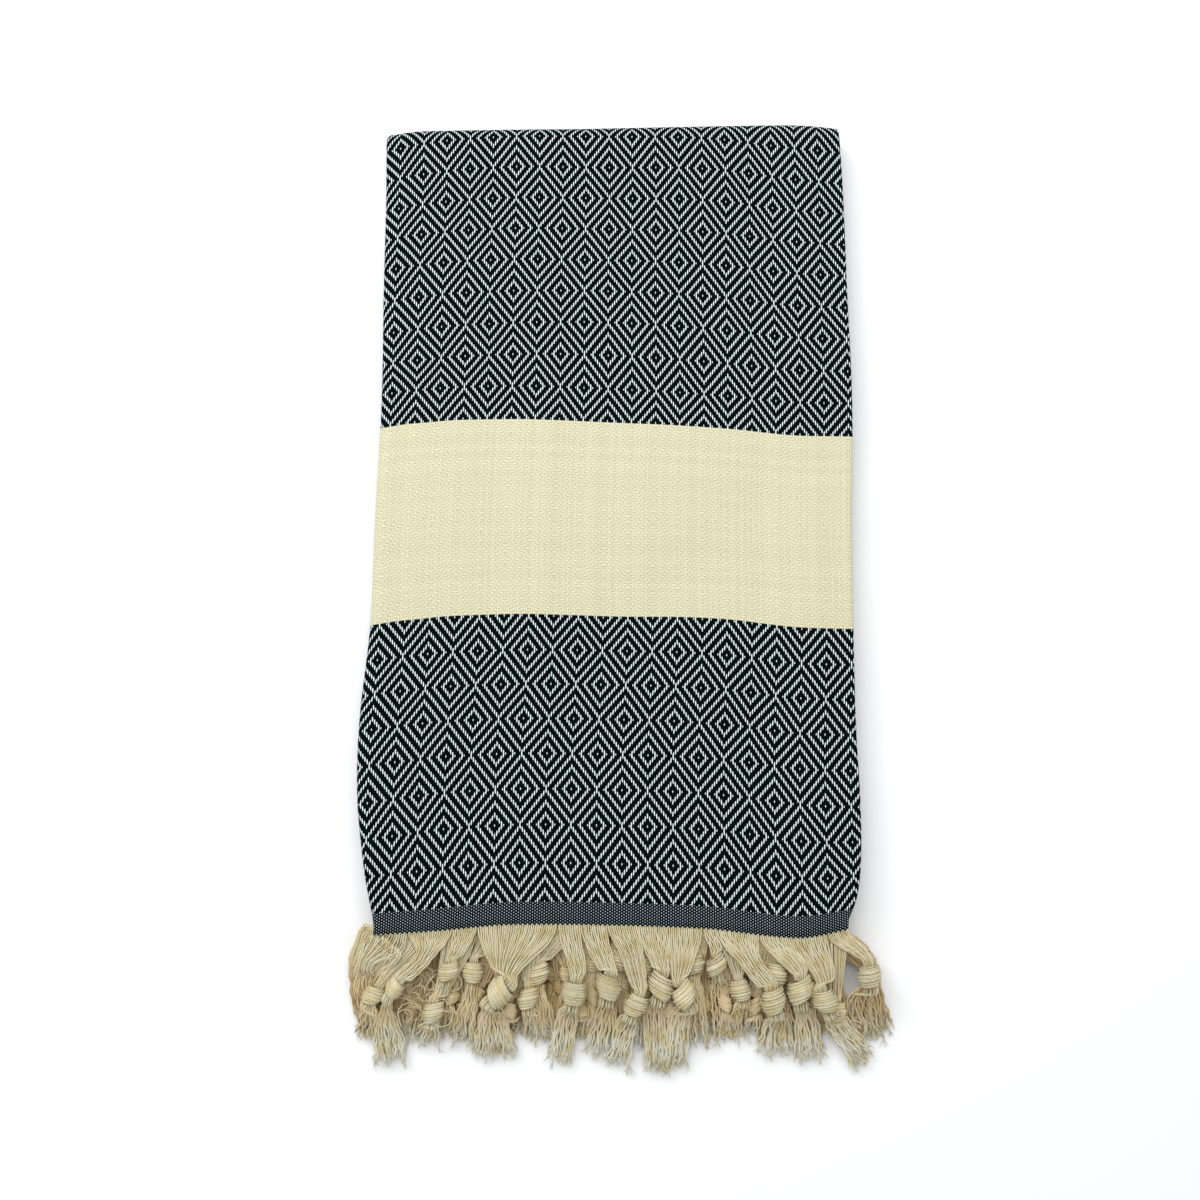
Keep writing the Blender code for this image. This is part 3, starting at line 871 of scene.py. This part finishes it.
def finish_tassel(tassel, chance):
    """A tassel's ways in and out, and how its knot lies and is wound."""
    knot, size, level = tassel["knot"], tassel["size"], tassel["level"]
    count = len(tassel["roots"])
    middle = sum(tassel["roots"], Vector()) / count
    loose = sqrt(count) * MM  # the half width of a loose bundle of so many yarns
    if not tassel["way_in"]:
        towards = (middle.x - knot.x) * 0.3
        tip_x = held(knot.x * SPREAD + chance.uniform(-5, 5) * MM, *TIPS_X)
        tip = Vector((tip_x, HEM_Y - chance.uniform(47, 57) * MM, (1 + 0.6 * level) * MM))
        tassel["way_in"] = [(knot + Vector((towards, size + 3 * MM, 0.35 * size)), 0.8 * loose)]
        fall = (knot + tip) / 2 + Vector((0, -0.002, 0.001))
        tassel["way_out"] = [(fall, 1.1 * loose), (tip, 1.5 * loose)]
    neck, fall = tassel["way_in"][-1][0], tassel["way_out"][0][0]
    if knot:
        axis = (fall - knot).normalized() + (knot - neck).normalized()
        axis = Vector((axis.x + chance.gauss(0, 0.35), axis.y, axis.z * 0.3))
        tassel["axis"] = axis.normalized()
        tassel["side"] = sideways(axis)
        tassel["up"] = tassel["axis"].cross(tassel["side"])
        tassel["start"] = -pi / 2 + chance.uniform(-0.5, 0.5)
        tassel["turn"] = chance.choice((-TURNS, TURNS)) * tau
        tassel["band_thick"] = min(0.16 * size, 0.06 * count * MM)
    tassel["thick"] = 0.28 * loose
    tassel["phase"] = chance.uniform(0, tau)
    tassel["slant"] = chance.choice((-1, 1)) * chance.uniform(0.08, 0.26)
    tassel["way_in"] = with_sides(middle, tassel["way_in"], knot or fall)
    tassel["way_out"] = with_sides(knot or neck, tassel["way_out"], tassel["way_out"][-1][0] + FROM_HEM * MM)


for tassel in tassels:
    finish_tassel(tassel, chance)
furthest = max(HEM_Y - tassel["way_out"][-1][0].y for tassel in tassels)
print("tips end", round(furthest / MM, 1), "mm from the straight hem")

# %% Lead one yarn from its root to its tip
RIDGE = 0.32 * MM  # half the height of the ridges along the band
ENTRY = 0.11  # the share of the knot in which a yarn passes into the band


def ease(t):
    """A smooth rise from 0 to 1."""
    t = held(t)
    return t * t * (3 - 2 * t)


def through(points, first_way, last_way, steps):
    """Points on a smooth line through these, without the last."""
    ways = [first_way] + [(c - a).normalized() for a, c in zip(points, points[2:])] + [last_way]
    line = []
    for a, b, way_a, way_b in zip(points, points[1:], ways, ways[1:]):
        reach = (b - a).length
        for from_a, from_way_a, from_b, from_way_b in (weights(k / steps) for k in range(steps)):
            line.append(from_a * a + from_way_a * reach * way_a + from_b * b + from_way_b * reach * way_b)
    return line


def waved(line, side, size, length, phase):
    """The line with soft waves, alike for neighbours with nearly the same phase."""
    gone, before = 0, line[0]
    made = []
    for point in line:
        gone += (point - before).length
        before = point
        turn = gone / length * tau + phase
        made.append(point + (side * sin(turn) + UP * cos(1.3 * turn) * 0.5) * size * ease(gone / (6 * MM)))
    return made


def wound_in_knot(tassel, p, q, steps):
    """One yarn in the knot: in the bundle at both ends, and wound in the band between."""
    knot, size, axis, side, up = (tassel[key] for key in ("knot", "size", "axis", "side", "up"))
    thick, long = tassel["band_thick"], 1.15 * size
    neck_half = tassel["way_in"][-1][1]
    line = []
    for t in (k / steps for k in range(steps + 1)):
        turn = tassel["start"] + tassel["turn"] * t
        out = side * cos(turn) + up * sin(turn)
        along = (2 * t - 1) * 0.5 + p * 0.42
        radius = (size - thick - YARN) * sqrt(1 - 0.92 * along**2) + (0.25 * q - 0.6 * p) * thick
        radius += RIDGE * cos(4 * pi * p + tassel["phase"])
        along += tassel["slant"] * cos(turn)
        in_band = axis * along * long + out * radius
        inward = min(t, 1 - t) / ENTRY
        if t < 0.5:
            in_bundle = axis * (0.8 * inward - 0.92) * long + side * p * neck_half * 0.7
            in_bundle += up * (q * tassel["thick"] + 0.28 * size)
        else:
            in_bundle = axis * (1.05 - 0.9 * inward) * long + side * p * size * 0.5
            in_bundle += up * (0.4 * q - 0.12) * size
        share = ease((inward - 0.4) / 0.6)
        line.append(knot + in_bundle * (1 - share) + in_band * share)
    return line


def places_for(tassel, way, p, q):
    """One yarn's own places on the bundle's way."""
    return [centre + side * p * half + UP * q * tassel["thick"] for centre, half, side in tassel[way]]


def tail_line(tassel, start, start_way, p, q, steps, chance):
    """From the knot to the tip."""
    after = places_for(tassel, "way_out", p, q)
    astray = Vector((chance.gauss(0, 1.0), chance.gauss(0, 2.4), abs(chance.gauss(0, 0.8)))) * MM
    after[-1] += astray
    line = through([start] + after, start_way, (after[-1] - start).normalized(), steps) + [after[-1]]
    line = waved(line, tassel["way_out"][-1][2], chance.uniform(0.35, 0.7) * MM, chance.uniform(8, 12) * MM,
                 tassel["phase"] + p + chance.gauss(0, 0.5))
    for point in line:
        point.z = max(point.z, YARN * 1.1)
    return line


def yarn_line(tassel, root, p, q, steps, chance):
    """All the points of one yarn; p and q are its place across and through the bundle."""
    fan_steps, knot_steps, tail_steps = steps
    before = places_for(tassel, "way_in", p, q)
    crimp = chance.uniform(0, tau)
    if tassel["knot"]:
        in_knot = wound_in_knot(tassel, p, q, knot_steps)
        fan = through([root] + before + [in_knot[0]], FROM_HEM, tassel["axis"], fan_steps)
        fan = waved(fan, tassel["side"], 0.22 * MM, 6 * MM, crimp)
        return fan + in_knot[:-1] + tail_line(tassel, in_knot[-1], tassel["axis"], p, q, tail_steps, chance)
    heading = (before[-1] - before[0]).normalized()
    fan = through([root] + before, FROM_HEM, heading, fan_steps)
    fan = waved(fan, tassel["way_out"][-1][2], 0.3 * MM, 7 * MM, crimp)
    return fan + tail_line(tassel, before[-1], heading, p, q, tail_steps, chance)


# Points to a stretch of the fan, in the knot, and to a stretch of the tail
TOP_STEPS, SECOND_STEPS, COVERED_STEPS = (6, 30, 7), (5, 26, 6), (3, 14, 4)
first_yarn = yarn_line(tassels[1], tassels[1]["roots"][0], -1, 0, TOP_STEPS, chance)
print("a yarn of the first knot has", len(first_yarn), "points")

# %% Draw the yarns of a layer as curves
YARN_SLOT, FRAY_SLOT = 0, 1  # the two materials of a mesh
FRAY_RADII = (0.26 * MM, 0.22 * MM, 0.17 * MM, 0.09 * MM)
STRAY_LOOPS, STRAY_RADIUS = 40, 0.24 * MM


def add_line(curves, points, radii, material):
    """A row of straight stretches, with half a thickness at each point."""
    line = curves.splines.new("POLY")
    line.points.add(len(points) - 1)
    line.material_index = material
    for place, point, radius in zip(line.points, points, radii):
        place.co = (*point, 1)
        place.radius = radius


def radii_along(tassel, count, steps, chance):
    """Half a yarn's thickness at each point: tight in the knot, full in the tail."""
    half = YARN * chance.uniform(0.9, 1.12)
    tail = len(tassel["way_out"]) * steps[2]
    radii = [half] * (count - tail - 1) + [half * 1.28] * (tail - 1) + [half, half * 0.5]
    if tassel["knot"]:
        first = steps[0] * (len(tassel["way_in"]) + 1)
        radii[first + 2:first + steps[1] - 2] = [half * 0.72] * (steps[1] - 4)
    return radii


def add_frayed_end(curves, points, count, chance):
    """The yarn's tip comes apart into a few fine strands."""
    tip, heading = points[-1], (points[-1] - points[-3]).normalized()
    for _ in range(count):
        lean = Vector((chance.gauss(0, 0.3), chance.gauss(0, 0.15), chance.gauss(0.03, 0.12)))
        length, way = chance.uniform(2.5, 5.5) * MM, heading.copy()
        beside = Vector((chance.uniform(-0.3, 0.3), 0, chance.uniform(-0.3, 0.3))) * MM
        strand = [tip - heading * 2.5 * MM + beside]
        for _ in range(3):
            way = (way + lean * 0.6).normalized()
            step = strand[-1] + way * length / 3
            step.z = max(step.z, 0.25 * MM)
            strand.append(step)
        add_line(curves, strand, FRAY_RADII, FRAY_SLOT)


def add_stray_loops(curves, chance):
    """Loose yarn in the hollow at the left end."""
    for _ in range(STRAY_LOOPS):
        centre = beyond_hem(chance.uniform(-106, -84), chance.uniform(26, 47), chance.uniform(13, 16))
        around, wide = chance.uniform(0, tau), chance.uniform(3, 8) * MM
        sweep, wobble = chance.uniform(1.2, 3.0), chance.uniform(0, tau)
        arc = []
        for turn in (around + sweep * t / 9 for t in range(10)):
            reach = wide * (1 + 0.25 * sin(2 * turn + wobble))
            lifted = 1.5 * MM * sin(turn + wobble)
            arc.append(centre + Vector((cos(turn) * reach, sin(turn) * reach * 0.8, lifted)))
        add_line(curves, arc, [STRAY_RADIUS] * len(arc), YARN_SLOT)


def curves_to_mesh(curves):
    """Every curve as a closed tube, all in one mesh."""
    source = new_object(curves.name, curves)
    graph = bpy.context.evaluated_depsgraph_get()
    mesh = bpy.data.meshes.new_from_object(source.evaluated_get(graph))
    bpy.data.objects.remove(source)
    tubes = bmesh.new()
    tubes.from_mesh(mesh)
    bmesh.ops.remove_doubles(tubes, verts=tubes.verts[:], dist=1e-7)
    bmesh.ops.recalc_face_normals(tubes, faces=tubes.faces[:])
    tubes.to_mesh(mesh)
    tubes.free()
    mesh.shade_smooth()
    return mesh


def add_tassel(curves, tassel, steps, frays, doubled, chance):
    """All yarns of one tassel. Doubled tails stand for yarn that has come untwisted."""
    count = len(tassel["roots"])
    for k, root in enumerate(tassel["roots"]):
        p = (2 * k + 1) / count - 1
        q = (2 * (k * 0.618 % 1) - 1) * sqrt(1 - 0.8 * p * p)
        points = yarn_line(tassel, root, p, q, steps, chance)
        radii = radii_along(tassel, len(points), steps, chance)
        add_line(curves, points, radii, YARN_SLOT)
        add_frayed_end(curves, points, frays, chance)
        if doubled:
            start, way = (tassel["knot"], tassel["axis"]) if tassel["knot"] else (points[steps[0]], FROM_HEM)
            beside = p + chance.uniform(-0.1, 0.1)
            points = tail_line(tassel, start, way, beside, -q * 1.3, steps[2], chance)
            add_line(curves, points, radii[-len(points):], YARN_SLOT)
            add_frayed_end(curves, points, frays // 2, chance)


def make_tassels(name, levels, steps, frays, doubled, chance):
    """All tassels of some levels as one mesh."""
    curves = bpy.data.curves.new(name, "CURVE")
    curves.dimensions = "3D"
    curves.bevel_depth = 1
    curves.bevel_resolution = 0
    curves.use_fill_caps = True
    for tassel in tassels:
        if tassel["level"] in levels:
            add_tassel(curves, tassel, steps, frays, doubled, chance)
    if TOP_LEVEL in levels:
        add_stray_loops(curves, chance)
    mesh = curves_to_mesh(curves)
    mesh.name = name
    print(name, sum(len(polygon.vertices) - 2 for polygon in mesh.polygons), "triangles")
    return mesh


fringe_meshes = [
    make_tassels("top_tassels", (TOP_LEVEL,), TOP_STEPS, 6, True, chance),
    make_tassels("second_tassels", (SECOND_LEVEL,), SECOND_STEPS, 5, True, chance),
]

# %% Draw the covered layers
fringe_meshes += [
    make_tassels(name, levels, COVERED_STEPS, 3, False, chance)
    for name, levels in (("covered_tassels", (4, 5)), ("back_tassels_1", (2, 3)), ("back_tassels_2", (0, 1)))
]

# %% [markdown]
# The fringe is the bare warp: undyed cotton, spun soft, with its fibres showing as fine lines. Each yarn's UV
# map runs along it and round it, so the lines follow every bend. Yarn low in the pile is painted peach and
# then brown, as painted shade for light that reaches it only through the cotton above, and the thin tips are
# paler.

# %% Colour the yarn
YARN_CREAM = (0.89, 0.81, 0.56, 1)
# painted shade: the yarn turns peach and then brown the lower it lies in the pile
YARN_PAINTED_WARM_SHADE = (0.9, 0.70, 0.42, 1)
YARN_PAINTED_DEEP_SHADE = (0.40, 0.24, 0.08, 1)
YARN_DEEP = (0.76, 0.63, 0.33, 1)
YARN_PALE = (0.9, 0.88, 0.72, 1)
FRAY_PALE = (0.94, 0.95, 0.89, 1)

FIBRE_LINES = 260  # in radians round the yarn, about 41 lines

yarn, tree, shader = new_material("cotton_yarn")
along_yarn, round_yarn = uv_parts(tree, "UVMap")
fibres = maths(tree, "SINE", plus(tree, times(tree, round_yarn, FIBRE_LINES), times(tree, along_yarn, tau)))
spots = tree.nodes.new("ShaderNodeTexCoord")
link = tree.links.new
mottle = tree.nodes.new("ShaderNodeTexNoise")
mottle.inputs["Scale"].default_value = 140
mottle.inputs["Detail"].default_value = 3
link(spots.outputs["Object"], mottle.inputs["Vector"])
depth = plus(tree, times(tree, fibres, 0.09), smooth_step(tree, mottle.outputs["Fac"], 0.62, 0.25))
spot = tree.nodes.new("ShaderNodeSeparateXYZ")
link(spots.outputs["Object"], spot.inputs["Vector"])
bared = YARN_CREAM
# painted shade by height in the pile, then paler tips far from the hem
in_pile = (
    ("Z", 18 * MM, 9 * MM, YARN_PAINTED_WARM_SHADE), ("Z", 12 * MM, 3 * MM, YARN_PAINTED_DEEP_SHADE),
    ("Y", HEM_Y - 40 * MM, HEM_Y - 62 * MM, YARN_PALE),
)
for axis, low, high, shade in in_pile:
    bared = blend_colours(tree, smooth_step(tree, spot.outputs[axis], low, high), bared, shade)
link(blend_colours(tree, depth, bared, YARN_DEEP), shader.inputs["Base Color"])
finish_cotton(tree, shader, fibres, 0.5, 0.0002, 0.15)
fray = plain_material("frayed_cotton", FRAY_PALE, 0.9)
print("cotton yarn:", len(tree.nodes), "nodes")

# %% Put the tassels in place of their solids
for mesh in fringe_meshes:
    mesh.materials.clear()
    piece = new_object(mesh.name, mesh, yarn, fray)
    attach(piece, "root")
    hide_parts("fringe_back" if mesh.name.startswith("back") else "fringe_front")

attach(folded_cloth, "root")
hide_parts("cloth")
